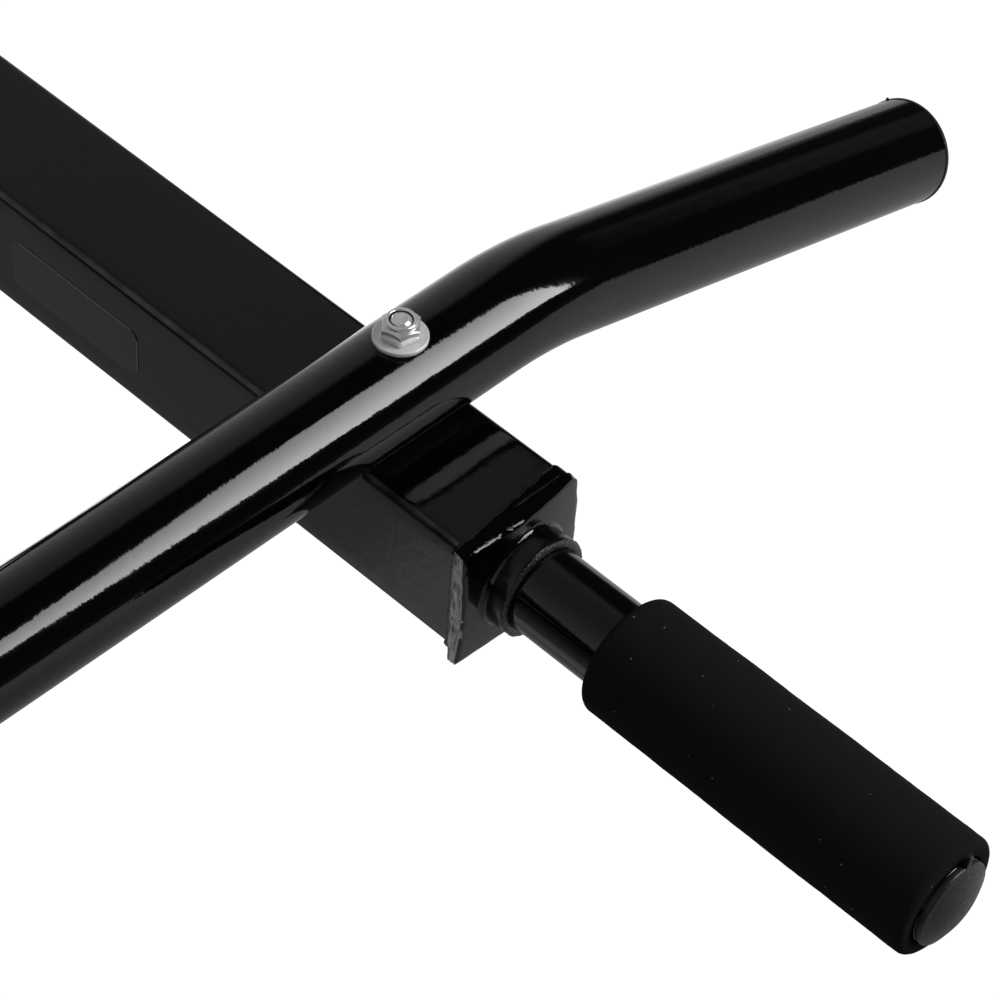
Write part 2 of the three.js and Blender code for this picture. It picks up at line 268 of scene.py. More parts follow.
def bead(name, stations, mirror=False, seed=0.0, lumps=0.08, grain=0.03, grain_size=0.9, square=1.0):
    """A closed, uneven weld bead along stations of (centre, direction, other direction, radius, other radius).

    Its section is an ellipse, or flatter with sharper shoulders if square is less than 1.
    """
    sides, points = 20, []
    for centre, u, v, ru, rv in stations:
        for j in range(sides):
            c, s = math.cos(2 * math.pi * j / sides), math.sin(2 * math.pi * j / sides)
            c, s = (math.copysign(abs(k) ** square, k) for k in (c, s))
            p = centre + u * (ru * c) + v * (rv * s)
            uneven = 1 + lumps * rough(p, 3.2, seed) + grain * rough(p, grain_size, seed + 5)
            points.append(centre + (p - centre) * uneven)
    return mesh_of(name, points, ring_faces(len(stations), sides, closed=True), mirror=mirror, crease=60)


# ------------------------------------------------------------------ materials


def math_node(tree, operation, a, b=0.0):
    node = tree.nodes.new("ShaderNodeMath")
    node.operation = operation
    for socket, value in zip(node.inputs, (a, b)):
        if isinstance(value, (int, float)):
            socket.default_value = value
        else:
            tree.links.new(value, socket)
    return node.outputs["Value"]


def range_node(tree, value, low, high, to_low, to_high, smooth_step=False):
    node = tree.nodes.new("ShaderNodeMapRange")
    if smooth_step:
        node.interpolation_type = "SMOOTHSTEP"
    for key, number in (("From Min", low), ("From Max", high), ("To Min", to_low), ("To Max", to_high)):
        node.inputs[key].default_value = number
    tree.links.new(value, node.inputs["Value"])
    return node.outputs["Result"]


class Nodes:
    """Short ways to add the shader nodes of one material."""

    def __init__(self, name):
        self.material = bpy.data.materials.new(name)
        self.material.use_nodes = True
        self.tree = self.material.node_tree
        self.shader = self.tree.nodes["Principled BSDF"]
        self.coords = self.tree.nodes.new("ShaderNodeTexCoord").outputs["Object"]
        self.normal = None

    def link(self, a, b):
        self.tree.links.new(a, b)

    def noise(self, size, detail=2.0, stretch=None):
        """Noise with features of about size millimetres."""
        node = self.tree.nodes.new("ShaderNodeTexNoise")
        node.inputs["Scale"].default_value = 1 / (size * MM)
        node.inputs["Detail"].default_value = detail
        self.link(self.stretched(stretch), node.inputs["Vector"])
        return node.outputs["Fac"]

    def cells(self, size):
        node = self.tree.nodes.new("ShaderNodeTexVoronoi")
        node.inputs["Scale"].default_value = 1 / (size * MM)
        self.link(self.coords, node.inputs["Vector"])
        return node.outputs["Distance"]

    def stretched(self, stretch):
        if not stretch:
            return self.coords
        node = self.tree.nodes.new("ShaderNodeMapping")
        node.inputs["Scale"].default_value = stretch
        self.link(self.coords, node.inputs["Vector"])
        return node.outputs["Vector"]

    def mapped(self, value, low, high, to_low, to_high, smooth_step=False):
        return range_node(self.tree, value, low, high, to_low, to_high, smooth_step)

    def math(self, operation, a, b=0.0):
        return math_node(self.tree, operation, a, b)

    def painted_corner_highlight(self):
        """1 along the top corners of the arms, where a painted highlight stands for the light the rounded corners
        reflect, else 0.
        """
        place = self.tree.nodes.new("ShaderNodeSeparateXYZ")
        self.link(self.coords, place.inputs["Vector"])
        x = self.math("ABSOLUTE", self.math("SUBTRACT", self.math("ABSOLUTE", place.outputs["X"]), ARM_X * MM))
        start, top = (ARM_HALF - CORNER) * MM, ARM_TOP * MM
        aside = self.mapped(x, start + 0.7 * MM, start + 1.6 * MM, 0, 1, smooth_step=True)
        above = self.mapped(place.outputs["Z"], top - 1.9 * MM, top - 0.8 * MM, 0, 1, smooth_step=True)
        # the painted highlight comes and goes along the corner
        varied = self.mapped(self.noise(9.0, 2.0), 0.3, 0.7, 0.25, 1.1)
        return self.math("MULTIPLY", varied, self.math("MULTIPLY", aside, above))

    def specks(self, every, radius):
        """1 inside small round spots, one in each cell of about every millimetres."""
        return self.mapped(self.cells(every), 0, radius / every, 1, 0, smooth_step=True)

    def bump(self, value, height):
        """Adds relief of height millimetres where value goes from 0 to 1."""
        node = self.tree.nodes.new("ShaderNodeBump")
        node.inputs["Distance"].default_value = height * MM
        self.link(value, node.inputs["Height"])
        if self.normal:
            self.link(self.normal, node.inputs["Normal"])
        self.normal = node.outputs["Normal"]
        self.link(self.normal, self.shader.inputs["Normal"])

    def colour(self, value, first, second):
        node = self.tree.nodes.new("ShaderNodeMix")
        node.data_type = "RGBA"
        node.inputs["A"].default_value = (*first, 1)
        node.inputs["B"].default_value = (*second, 1)
        self.link(value, node.inputs["Factor"])
        self.link(node.outputs["Result"], self.shader.inputs["Base Color"])

    def roughness(self, value, low, high):
        self.link(self.mapped(value, 0.3, 0.7, low, high), self.shader.inputs["Roughness"])


def grey(value, warm=0.0):
    return (value * (1 + warm), value, value * (1 - warm))


def gloss_paint(name, peel=1.0, lumps=0.0, streaks=0.0, sand=0.0, base=0.0011, varied=False, dull=0.05):
    """Thick gloss black paint: orange peel, a few dust nibs, faint changes of gloss, and on request light and dark
    streaks in its colour.
    """
    m = Nodes(name)
    m.shader.inputs["IOR"].default_value = 1.5
    m.bump(m.noise(9.0, 1.0), 0.05 * peel)
    m.bump(m.noise(1.7, 2.0), 0.016 * peel)
    m.bump(m.specks(26.0, 0.33), 0.12)
    if lumps:
        m.bump(m.noise(1.1, 3.0), lumps)
    if streaks:
        m.bump(m.noise(1.5, 3.0, (1, 0.35, 0.35)), streaks)
    if sand:
        m.bump(m.noise(0.5, 2.0), sand)
    if varied:
        m.colour(m.mapped(m.noise(1.1, 3.0, (1, 1, 0.2)), 0.38, 0.62, 0, 1), grey(base * 0.3), grey(base * 1.8))
    else:
        m.colour(m.noise(30.0), grey(base * 0.75), grey(base * 1.25))
    m.roughness(m.noise(14.0, 3.0), dull, dull * 1.8)
    return m.material


def satin_paint(name, corners=False):
    """Thinner satin black paint: fine grain, soft wiping marks. corners paints a lighter highlight along the arms' top
    corners.
    """
    m = Nodes(name)
    m.shader.inputs["IOR"].default_value = 1.5
    m.shader.inputs["Specular IOR Level"].default_value = 0.38
    m.bump(m.noise(12.0, 1.0), 0.04)
    m.bump(m.noise(3.6, 1.0), 0.04)
    m.bump(m.noise(0.9, 2.0), 0.006)
    m.bump(m.specks(40.0, 0.3), 0.08)
    if corners:
        # painted highlight: a much lighter colour along the arms' top corners
        m.colour(m.painted_corner_highlight(), grey(0.0014), grey(0.07))
    else:
        m.colour(m.noise(22.0, 3.0), grey(0.0014), grey(0.0018))
    m.roughness(m.noise(18.0, 4.0, (1, 0.25, 1)), 0.07, 0.12)
    return m.material


def zinc(name, metallic, low, high):
    """Zinc plate with a whitish bloom: fine grain, light scratches and duller patches."""
    m = Nodes(name)
    m.shader.inputs["Metallic"].default_value = metallic
    m.colour(m.noise(1.6, 3.0), grey(0.84, 0.01), grey(0.95, 0.005))
    m.bump(m.noise(0.5, 3.0), 0.01)
    m.bump(m.noise(0.35, 2.0, (0.15, 1, 1)), 0.003)
    m.roughness(m.noise(1.2, 3.0), low, high)
    return m.material


def foam(name):
    """Closed-cell foam with its moulded skin: fine cells and a little lint."""
    m = Nodes(name)
    m.shader.inputs["Specular IOR Level"].default_value = 0.04
    m.shader.inputs["Roughness"].default_value = 1.0
    m.bump(m.cells(0.55), 0.09)
    m.bump(m.noise(1.6, 4.0), 0.12)
    m.bump(m.noise(7.0, 2.0), 0.2)
    m.colour(m.specks(5.0, 0.3), grey(0.0125), grey(0.35))
    return m.material


def plug_plastic(name):
    """Black moulded plastic with a fine grain, a few pale specks of dust."""
    m = Nodes(name)
    m.shader.inputs["Specular IOR Level"].default_value = 0.5
    m.bump(m.noise(0.5, 3.0), 0.06)
    m.bump(m.noise(3.0, 2.0), 0.05)
    m.colour(m.specks(3.5, 0.3), grey(0.01), grey(0.4))
    m.roughness(m.noise(1.5, 3.0), 0.34, 0.46)
    return m.material


def nylon(name):
    m = Nodes(name)
    m.colour(m.noise(0.8), grey(0.004), grey(0.008))
    m.bump(m.noise(0.3), 0.01)
    m.roughness(m.noise(0.6), 0.5, 0.65)
    return m.material


def label_film(name, base=0.0038):
    """Blank dark film: smoother than the paint, with a faint ripple from being pressed on."""
    m = Nodes(name)
    m.bump(m.noise(14.0, 1.0), 0.04)
    m.bump(m.noise(0.6), 0.002)
    m.colour(m.noise(9.0, 2.0), grey(base * 0.8), grey(base * 1.2))
    m.roughness(m.noise(6.0), 0.1, 0.16)
    return m.material


GLOSS = gloss_paint("gloss_black_paint")
DRAWN = gloss_paint("gloss_black_paint_on_drawn_tube", streaks=0.016)
SEAM = gloss_paint("gloss_black_paint_on_weld", peel=1.6, lumps=0.06)
COARSE = gloss_paint("gloss_black_paint_on_coarse_weld", peel=2.0, lumps=0.09)
SANDY = gloss_paint("gloss_black_paint_on_grainy_weld", peel=2.0, lumps=0.2, sand=0.3, base=0.02)
# the sheared sides: base 0.34 makes them light grey as a painted reflection of the pale floor, with the shear's streaks
# in it
SHEARED = gloss_paint("sheared_edge_painted_floor_reflection", peel=2.0, lumps=0.3, sand=0.16, base=0.34, varied=True)
DULLED = gloss_paint("gloss_black_paint_on_ring", peel=1.6, lumps=0.03, dull=0.16)
SATIN = satin_paint("satin_black_paint")
# the arms' paint, with a painted highlight along their top corners
ARM_SATIN = satin_paint("satin_black_paint_on_arm_painted_corner_highlight", corners=True)
ZINC = zinc("zinc_plate", 0.6, 0.16, 0.26)
DULL_ZINC = zinc("dull_zinc_plate", 0.35, 0.35, 0.45)
FOAM = foam("foam")
PLUG = plug_plastic("plug_plastic")
NYLON = nylon("nylon")
FILM = label_film("label_film")
# the label's two lit edges get a far lighter film colour: painted highlight
FILM_EDGE_HIGHLIGHT = label_film("label_film_edge_painted_highlight", 0.16)


# ------------------------------------------------------------------ main bar


def bar_frame(s):
    """Centre, direction along and upward direction of the bar at distance s along it from the middle."""
    side, s = (1 if s >= 0 else -1), abs(s)
    angle = min(max(s - BEND_START, 0) / BEND_RADIUS, BEND)
    after = max(s - BEND_START - BEND_RADIUS * BEND, 0)
    x = min(s, BEND_START) + BEND_RADIUS * math.sin(angle) + after * math.cos(angle)
    z = BAR_Z - BEND_RADIUS * (1 - math.cos(angle)) - after * math.sin(angle)
    along = Vector((side * math.cos(angle), 0, -math.sin(angle)))
    up = Vector((side * math.sin(angle), 0, math.cos(angle)))
    return Vector((side * x, BAR_Y, z)), along, up


def bar_stations():
    """Distances from the bar's middle at which its right half has a ring, close together at the bolt and the bend."""
    out, s = [], 0.0
    while s < BEND_START:
        out.append(s)
        s += 1.5 if abs(s - ARM_X) < 12 else 8.0
    out += [BEND_START + BEND_RADIUS * BEND * i / 24 for i in range(25)]
    s = out[-1] + 8
    while s < BAR_END - 5:
        out.append(s)
        s += 8
    out += [BAR_END - 2, BAR_END - 0.5, BAR_END - 0.14]
    return out


def bar_ring(s, radius, sides):
    centre, _, up = bar_frame(s)
    side = Vector((0, 1, 0))
    ring = []
    for j in range(sides):
        angle = 2 * math.pi * j / sides
        ring.append(centre + side * (radius * math.cos(angle)) + up * (radius * math.sin(angle)))
    return ring


def bolt_hole(x, z):
    """An upright cutter for one bolt's hole, centred on a height."""
    reach = 30
    profile = [(0, -reach), (BOLT_HOLE, -reach), (BOLT_HOLE, reach), (0, reach)]
    return turned("hole", profile, 32, at(x, FASTENER_Y, z), closed=False)


def main_bar():
    half = bar_stations()
    along = [-s for s in reversed(half[1:])] + half
    rim, bore = BAR_RADIUS - 0.4, BAR_RADIUS - TUBE_WALL
    rings = [(s, BAR_RADIUS) for s in along] + [(BAR_END, rim), (BAR_END, bore)]
    rings += [(s, bore) for s in reversed(along)] + [(-BAR_END, bore), (-BAR_END, rim)]
    tube = lofted("bar", [bar_ring(s, radius, 112) for s, radius in rings])
    cutters = [bolt_hole(side * ARM_X, BAR_Z) for side in (-1, 1)]
    piece("bar_tube", combined(tube, cutters), DRAWN, "gloss_black_paint", "main_bar")


main_bar()


# ------------------------------------------------------------------ arms, braces and wall plates


def arm_stations():
    """Places of the arm's rings, from the wall to its front, close together under the bar."""
    fine = [BAR_Y + 0.5 * i for i in range(-17, 18)]
    rear = [ARM_REAR - 20 * i for i in range(1, 22)]
    front = [BAR_Y - 10 - 6 * i for i in range(0, 6)]
    inner = [y for y in rear if y > fine[-1] + 4] + fine + front
    return sorted([ARM_REAR, *inner, ARM_FRONT], reverse=True)


def cradle(y):
    """Height of the bar's underside over a place along the arm."""
    reach = BAR_RADIUS + 0.15
    off = y - BAR_Y
    return BAR_Z - math.sqrt(reach**2 - off**2) if abs(off) < reach else ARM_TOP


def arm(side, mirror):
    rings = []
    stations = arm_stations()
    outline = round_square(ARM_HALF, ARM_HALF, CORNER, 9, 8)
    for y in stations:
        low = cradle(y)
        rings.append([(ARM_X + x, y, min(ARM_Z + z, low)) for x, z, _ in outline])
    bore = round_square(ARM_HALF - ARM_WALL, ARM_HALF - ARM_WALL, 1.5, 9, 8)
    for y in reversed(stations):
        rings.append([(ARM_X + x, y, ARM_Z + z) for x, z, _ in bore])
    tube = lofted("arm", rings, mirror=mirror, crease=50)
    cutter = bolt_hole((-1 if mirror else 1) * ARM_X, ARM_Z)
    mesh = combined(tube, [cutter], crease=50)
    piece(f"arm_tube_{side}", mesh, ARM_SATIN, "satin_black_paint", f"arm_{side}")


def brace(side, mirror):
    def ring(half, corner, at_wall):
        out = []
        for a, b, _ in round_square(half, half, corner, 6, 4):
            shift = BRACE_LINE + b * math.sqrt(2)
            wall = wall_low.y
            out.append((ARM_X + a, wall, shift - wall) if at_wall else (ARM_X + a, shift - ARM_UNDER, ARM_UNDER))
        return out

    def run(half, corner):
        start, end = ring(half, corner, True), ring(half, corner, False)
        steps = 14
        return [
            [tuple(Vector(p).lerp(Vector(q), i / steps)) for p, q in zip(start, end)] for i in range(steps + 1)
        ]

    rings = run(BRACE_HALF, 2.6) + run(BRACE_HALF - TUBE_WALL, 0.8)[::-1]
    mesh = lofted("brace", rings, mirror=mirror)
    piece(f"brace_tube_{side}", mesh, SATIN, "satin_black_paint", f"brace_{side}")


def wall_plate(side, mirror):
    half_x, half_z = (wall_high.x - wall_low.x) / 2, (wall_high.z - wall_low.z) / 2
    thick = wall_high.y - wall_low.y
    rings = []
    for inset, y in ((0.7, 0), (0.2, -0.2), (0, -0.7), (0, 0.7 - thick), (0.2, 0.2 - thick), (0.7, -thick)):
        outline = round_square(half_x - inset, half_z - inset, 8 - inset, 8, 12)
        rings.append([(ARM_X + x, y + wall_high.y, z) for x, z, _ in outline])
    plate = lofted("plate", rings, capped=True, mirror=mirror)
    cutters = []
    hole, rim = ANCHOR_RADIUS, ANCHOR_RADIUS + 0.7
    profile = [(0, -10), (hole, -10), (hole, thick - 0.5), (rim, thick + 0.2), (rim, 20), (0, 20)]
    x = (-1 if mirror else 1) * ARM_X
    for height in ANCHOR_HEIGHTS:
        cutters.append(turned("anchor", profile, 40, at(x, 0, height, FORWARD), closed=False))
    piece(f"plate_on_wall_{side}", combined(plate, cutters), SATIN, "satin_black_paint", f"wall_plate_{side}")


# ------------------------------------------------------------------ end plate and welds


def crown_of_plate(x, z):
    """How far the end plate's front bulges towards the viewer at a place on it."""
    across, up = x - ARM_X + 4, z - ARM_Z
    bulge = 2.4 - (2.4 * (across / 26) ** 2 if across > 0 else -0.047 * across)
    return bulge + 1.1 - (1.1 * (up / 20) ** 2 if up > 0 else 1.5 * (up / 22) ** 2)


def end_plate(side, mirror):
    """Sheared from plate: its front is crowned, its sides are rough, its top falls forwards."""
    seed = 11.0 if mirror else 2.0
    half_x = (plate_high.x - plate_low.x) / 2
    low, high = plate_low.z, plate_high.z
    columns, rows = 66, 64
    front, back = [], []
    for i in range(rows + 1):
        for j in range(columns + 1):
            u, v = 2 * j / columns - 1, i / rows
            x = ARM_X + half_x * u
            fall = PLATE_FALL * (ARM_FRONT - PLATE_FACE + crown_of_plate(x, high - 1))
            z = low + (high - fall - low) * v
            z -= 2.6 * (max(0.0, half_x * u - 18.2) / 3.8) ** 2 * v**6  # the outer top corner is knocked down
            edge = max(abs(u), abs(2 * v - 1))
            wear = rough((x, 0, z), 2.2, seed) * 0.22 + rough((x, 9, z), 6.0, seed) * 0.3
            if abs(u) > 0.999:
                x += u * wear
            if v < 0.001 or v > 0.999:
                z += (2 * v - 1) * wear * 0.25
            y = PLATE_FACE - crown_of_plate(x, z)
            if math.hypot(x - ARM_X, z - HANDLE_Z) < COLLAR_RADIUS - 0.3:
                y = ROOT_Y
            rolled = max(0.0, edge - 0.955) / 0.045
            roll = 0.48 - 0.26 * min(1.0, max(0.0, (half_x * u + 3) / 7))
            front.append((x, y + roll * rolled**2 + 0.03 * rough((x, y, z), 5.0, seed), z))
            back.append((x, ARM_FRONT - 0.02 - 0.25 * rolled**2, z + fall * v))
    points, count = front + back, len(front)
    faces = []
    row = columns + 1
    for i in range(rows):
        for j in range(columns):
            a = i * row + j
            faces.append((a, a + 1, a + row + 1, a + row))
            faces.append(tuple(k + count for k in (a, a + row, a + row + 1, a + 1)))
    rim = list(range(row)) + [i * row + columns for i in range(1, rows + 1)]
    rim += [rows * row + j for j in range(columns - 1, -1, -1)] + [i * row for i in range(rows - 1, 0, -1)]
    layers = 5
    rings = [rim]
    for k in range(1, layers):
        start = len(points)
        for index in rim:
            p, q = Vector(points[index]), Vector(points[index + count])
            mid = p.lerp(q, k / layers)
            out = Vector((mid.x - ARM_X, 0, mid.z - (low + high) / 2)).normalized()
            torn = 0.16 if abs(out.x) > abs(out.z) else 0.08
            lift = torn * (rough(mid, 0.9, seed) + rough((mid.x, mid.y * 0.3, mid.z), 1.6, seed + 3))
            points.append(tuple(mid + out * lift))
        rings.append(list(range(start, start + len(rim))))
    rings.append([index + count for index in rim])
    for a, b in zip(rings, rings[1:]):
        for i in range(len(rim)):
            k = (i + 1) % len(rim)
            faces.append((a[i], a[k], b[k], b[i]))
    mesh = mesh_of("end_plate", points, faces, mirror=mirror, crease=28)
    piece(f"handle_plate_{side}", mesh, GLOSS, "gloss_black_paint", f"end_plate_{side}")
    mesh.materials.append(SHEARED)
    # the plate's sides take the light grey of the painted floor reflection
    for polygon in mesh.polygons:
        if abs(polygon.normal.x) > 0.7:
            polygon.material_index = 1


def arm_weld(side, mirror):
    """The bead round the arm's front end. Its top leans forwards and runs on over the plate's top."""
    stations = []
    for x, z, angle in round_square(ARM_HALF, ARM_HALF, CORNER, 10, 90):
        out, back = Vector((math.cos(angle), 0, math.sin(angle))), Vector((0, 1, 0))
        place = Vector((ARM_X + x, 0, ARM_Z + z))
        top = max(0.0, out.z)
        leg = 2.3 + top * (0.095 * (x + ARM_HALF) - 1.8) + 0.45 * rough(place, 4.0, 3.0)
        plate_edge = PLATE_FACE - crown_of_plate(place.x, ARM_TOP - 1) + 0.12
        rear, front = ARM_FRONT + leg, ARM_FRONT - 0.8
        front += (plate_edge - front) * top
        half, lean, height = (rear - front) / 2, math.atan(PLATE_FALL) * top, 1.15 - 0.45 * top
        middle = (rear + front) / 2
        sunk = 0.18 * min(1.0, max(0.0, (x + 1) / 4))
        rise = PLATE_FALL * (middle - ARM_FRONT) + 0.04 - sunk - height
        centre = Vector((place.x, middle, place.z)) + out * (0.05 * (1 - top) + rise * top)
        normal = out * math.cos(lean) - back * math.sin(lean)
        slope = back * math.cos(lean) + out * math.sin(lean)
        stations.append((centre, normal, slope, height, half))
    mesh = bead("weld", stations, mirror, 7.0 if mirror else 1.0, 0.04, 0.03, square=0.55)
    piece(f"arm_weld_{side}", mesh, COARSE, "gloss_black_paint")


def wall_weld(name, outline, centre_z, mirror, leg, height, seed):
    """A bead round the end of a square tube that stands on the wall plate."""
    stations = []
    for x, z, angle in outline:
        out = Vector((math.cos(angle), 0, math.sin(angle)))
        centre = Vector((ARM_X + x, wall_low.y - leg / 2 + 0.4, centre_z + z)) + out * 0.1
        stations.append((centre, out, Vector((0, 1, 0)), height, leg / 2 + 0.4))
    piece(name, bead("weld", stations, mirror, seed), SEAM, "satin_black_paint")


def rear_welds(side, mirror):
    seed = 4.0 if mirror else 9.0
    tall, foot = BRACE_HALF * math.sqrt(2), BRACE_LINE - wall_low.y
    arm_outline = round_square(ARM_HALF, ARM_HALF, CORNER, 8, 50)
    brace_outline = round_square(BRACE_HALF, tall, 3.0, 8, 36)
    wall_weld(f"arm_wall_weld_{side}", arm_outline, ARM_Z, mirror, 3.0, 2.0, seed)
    wall_weld(f"brace_wall_weld_{side}", brace_outline, foot, mirror, 2.8, 1.9, seed + 1)
    stations = []
    for x, y, angle in brace_outline:
        out = Vector((math.cos(angle), math.sin(angle), 0))
        centre = Vector((ARM_X + x, BRACE_LINE - ARM_UNDER + y, ARM_UNDER - 1.0)) + out * 0.1
        stations.append((centre, out, Vector((0, 0, 1)), 1.8, 1.7))
    mesh = bead("weld", stations, mirror, seed + 2)
    piece(f"brace_arm_weld_{side}", mesh, SEAM, "satin_black_paint")


def handle_welds(side, mirror):
    """The hollow fillet between end plate and collar, and the grainy bead that closes the collar's front."""
    seed = 21.0 if mirror else 13.0
    sides, points, front = 220, [], []
    for i in range(sides):
        angle = 2 * math.pi * i / sides
        out = Vector((math.cos(angle), 0, math.sin(angle)))
        axis = Vector((ARM_X, 0, HANDLE_Z))
        toe = axis + out * (COLLAR_RADIUS + 1.8)
        base = PLATE_FACE - crown_of_plate(toe.x, toe.z)
        leg = 1.8 + 0.25 * rough(toe, 6.0, seed)
        hollow = [math.radians(10 * k) for k in range(10)]
        section = [(leg * (1 - math.cos(a)), -leg * (1 - math.sin(a))) for a in hollow]
        section += [(leg, 0.6), (-0.5, 0.6), (-0.5, -leg)]
        for r, y in section:
            p = axis + out * (COLLAR_RADIUS + r) + Vector((0, base + y, 0))
            points.append(p + out * 0.04 * rough(p, 1.5, seed))
        rim = axis + out * (COLLAR_RADIUS - 1.25) + Vector((0, COLLAR_END + 0.05, 0))
        front.append((rim, out, Vector((0, 1, 0)), 1.3, 0.5))
    root = mesh_of("weld", points, ring_faces(sides, len(section), closed=True), mirror=mirror, crease=60)
    piece(f"collar_weld_{side}", root, SEAM, "gloss_black_paint")
    rim_weld = bead("weld", front, mirror, seed + 2, 0.06, 0.16, 0.7)
    piece(f"collar_front_weld_{side}", rim_weld, SANDY, "gloss_black_paint")


# ------------------------------------------------------------------ handle


def collar(side, mirror):
    inner, length = TUBE_RADIUS + 0.2, ROOT_Y - COLLAR_END
    profile = rounded([(COLLAR_RADIUS, 0, 0.2), (COLLAR_RADIUS, length, 0.7), (inner, length, 0.3), (inner, 0, 0.2)])
    profile = spaced(profile, 1.2)

    def hammered(radius, along, angle):
        spot = (radius * math.cos(angle), radius * math.sin(angle), along)
        return radius + (0.018 * rough(spot, 4.0, 3.0) if radius > inner + 0.5 else 0), along

    mesh = turned("collar", profile, 120, at(ARM_X, ROOT_Y, HANDLE_Z, FORWARD), mirror, shape=hammered)
    piece(f"handle_collar_{side}", mesh, DULLED, "gloss_black_paint", f"collar_{side}")


def handle_tube(side, mirror):
    inner, end = TUBE_RADIUS - TUBE_WALL, TUBE_LENGTH
    profile = rounded([(TUBE_RADIUS, 0, 0.2), (TUBE_RADIUS, end, 0.4), (inner, end, 0.3), (inner, 0, 0.2)])
    mesh = turned("tube", spaced(profile, 6), 96, HANDLE, mirror)
    piece(f"handle_pipe_{side}", mesh, GLOSS, "gloss_black_paint", f"handle_tube_{side}")


def foam_grip(side, mirror):
    """A foam sleeve: its skin is a little uneven and it swells by a hair between its ends."""
    start, end = ROOT_Y - grip_high.y, ROOT_Y - grip_low.y
    inner = TUBE_RADIUS + 0.3
    seed = 31.0 if mirror else 6.0
    profile = rounded(
        [(GRIP_RADIUS, start, 2.4), (GRIP_RADIUS, end, 2.2), (inner, end, 0.8), (inner, start, 0.8)], steps=7
    )

    def uneven(radius, along, angle):
        if radius < inner + 0.3:
            return radius, along
        spot = (radius * math.cos(angle), radius * math.sin(angle), along)
        share = (along - start) / (end - start)
        swell = 0.12 * math.sin(math.pi * share)
        skin = 0.1 * rough(spot, 16.0, seed) + 0.035 * rough(spot, 3.5, seed + 1) + 0.02 * rough(spot, 1.4, seed + 2)
        return radius + swell + skin, along + 0.5 * skin

    mesh = turned("grip", spaced(profile, 1.3), 128, HANDLE, mirror, shape=uneven)
    grip = piece(f"foam_sleeve_{side}", mesh, FOAM, "foam", f"foam_grip_{side}")


def plug_profile(head, thick, dome, stem, bore, edge):
    """Half section of a push-in plug that points along +z from the tube's end."""
    face = head - edge
    out = [(face * i / 12, thick + dome * (1 - (i / 12) ** 2)) for i in range(12)]
    for i in range(6):
        angle = math.radians(90 * i / 5)
        out.append((face + edge * math.sin(angle), thick - edge * (1 - math.cos(angle))))
    out += [(head, 0.12), (head - 0.12, 0.0), (bore - 1.1, 0.0)]
    for share in (0.25, 0.5, 0.75):
        z = -share * stem
        out += [(bore - 1.1, z + 0.9), (bore - 0.3, z), (bore - 1.1, z - 0.3)]
    out += [(bore - 1.1, 0.6 - stem), (bore - 1.7, -stem), (0, -stem)]
    return out


def tab_points(reach_in, reach_out, half_width, low, high, angle):
    """A small block with softened corners that stands out from a plug's rim."""
    points, faces = [], []
    c, s = math.cos(angle), math.sin(angle)
    steps = [(reach_in, 1.0), (reach_out - 0.5, 1.0), (reach_out - 0.12, 0.86), (reach_out, 0.5)]
    for r, grow in steps:
        for i in range(12):
            turn = 2 * math.pi * i / 12
            w = half_width * grow * math.copysign(abs(math.cos(turn)) ** 0.5, math.cos(turn))
            mid, half = (low + high) / 2, (high - low) / 2
            z = mid + half * grow * math.copysign(abs(math.sin(turn)) ** 0.5, math.sin(turn))
            points.append((r * c - w * s, r * s + w * c, z))
    return points, ring_faces(len(steps), 12, capped=True)


def plug(name, stands_for, profile, sides, place, mirror, **tab_shape):
    """A push-in plug with the tab its mould left on the rim."""
    points, faces = tab_points(**tab_shape)
    head = turned("plug", profile, sides, place, mirror, closed=False)
    tab = mesh_of("tab", points, faces, place, mirror)
    piece(name, combined(head, [tab], "UNION", 40), PLUG, "plug_plastic", stands_for)


def handle_plug(side, mirror):
    profile = plug_profile(head=12.5, thick=1.8, dome=2.8, stem=14, bore=TUBE_RADIUS - TUBE_WALL, edge=0.8)
    place = HANDLE @ Matrix.Translation((0, 0, TUBE_LENGTH))
    tab = {"reach_in": 11.5, "reach_out": 16.2, "half_width": 0.85, "low": 0.45, "high": 1.7, "angle": math.radians(76)}
    plug(f"handle_cap_{side}", f"handle_plug_{side}", profile, 96, place, mirror, **tab)


def bar_plug(side, mirror):
    centre, along, up = bar_frame(BAR_END)
    across = up.cross(along)
    place = Matrix((across, up, along)).transposed().to_4x4()
    place.translation = centre
    profile = plug_profile(head=BAR_RADIUS + 0.22, thick=1.6, dome=0.9, stem=16, bore=BAR_RADIUS - TUBE_WALL, edge=0.8)
    tab = {"reach_in": 15.0, "reach_out": 16.75, "half_width": 0.5, "low": 0.2, "high": 0.8, "angle": math.radians(48)}
    plug(f"bar_cap_{side}", f"bar_end_plug_{side}", profile, 112, place, mirror, **tab)


# ------------------------------------------------------------------ fasteners

HEX_TURN = math.radians(-16)
FLAT = 5.0  # half of the width across flats
CHAMFER = 4.72  # radius where the chamfer of nut and head starts
THREAD_RADIUS, THREAD_LENGTH, PITCH = 2.97, 14.0, 1.0
HEAD_HEIGHT = 4.0


def hex_radius(angle):
    """Distance from the axis to the side of a hexagon with slightly rounded corners."""
    total = sum(max(0.0, math.cos(angle - math.radians(30 + 60 * k))) ** 60 for k in range(6))
    return FLAT / total ** (1 / 60)


def hex_solid(name, rings, sides, place, closed, crease):
    """A mesh from rings, each a function of the hexagon's radius and the angle that gives (radius, height)."""
    points = []
    for ring in rings:
        for j in range(sides):
            angle = 2 * math.pi * j / sides
            r, z = ring(hex_radius(angle), angle)
            points.append((r * math.cos(angle), r * math.sin(angle), z))
    return mesh_of(name, points, ring_faces(len(rings), sides, closed), place, crease=crease)


def chamfer(h, start=CHAMFER):
    return max(0.0, h - start) * math.tan(math.radians(30))


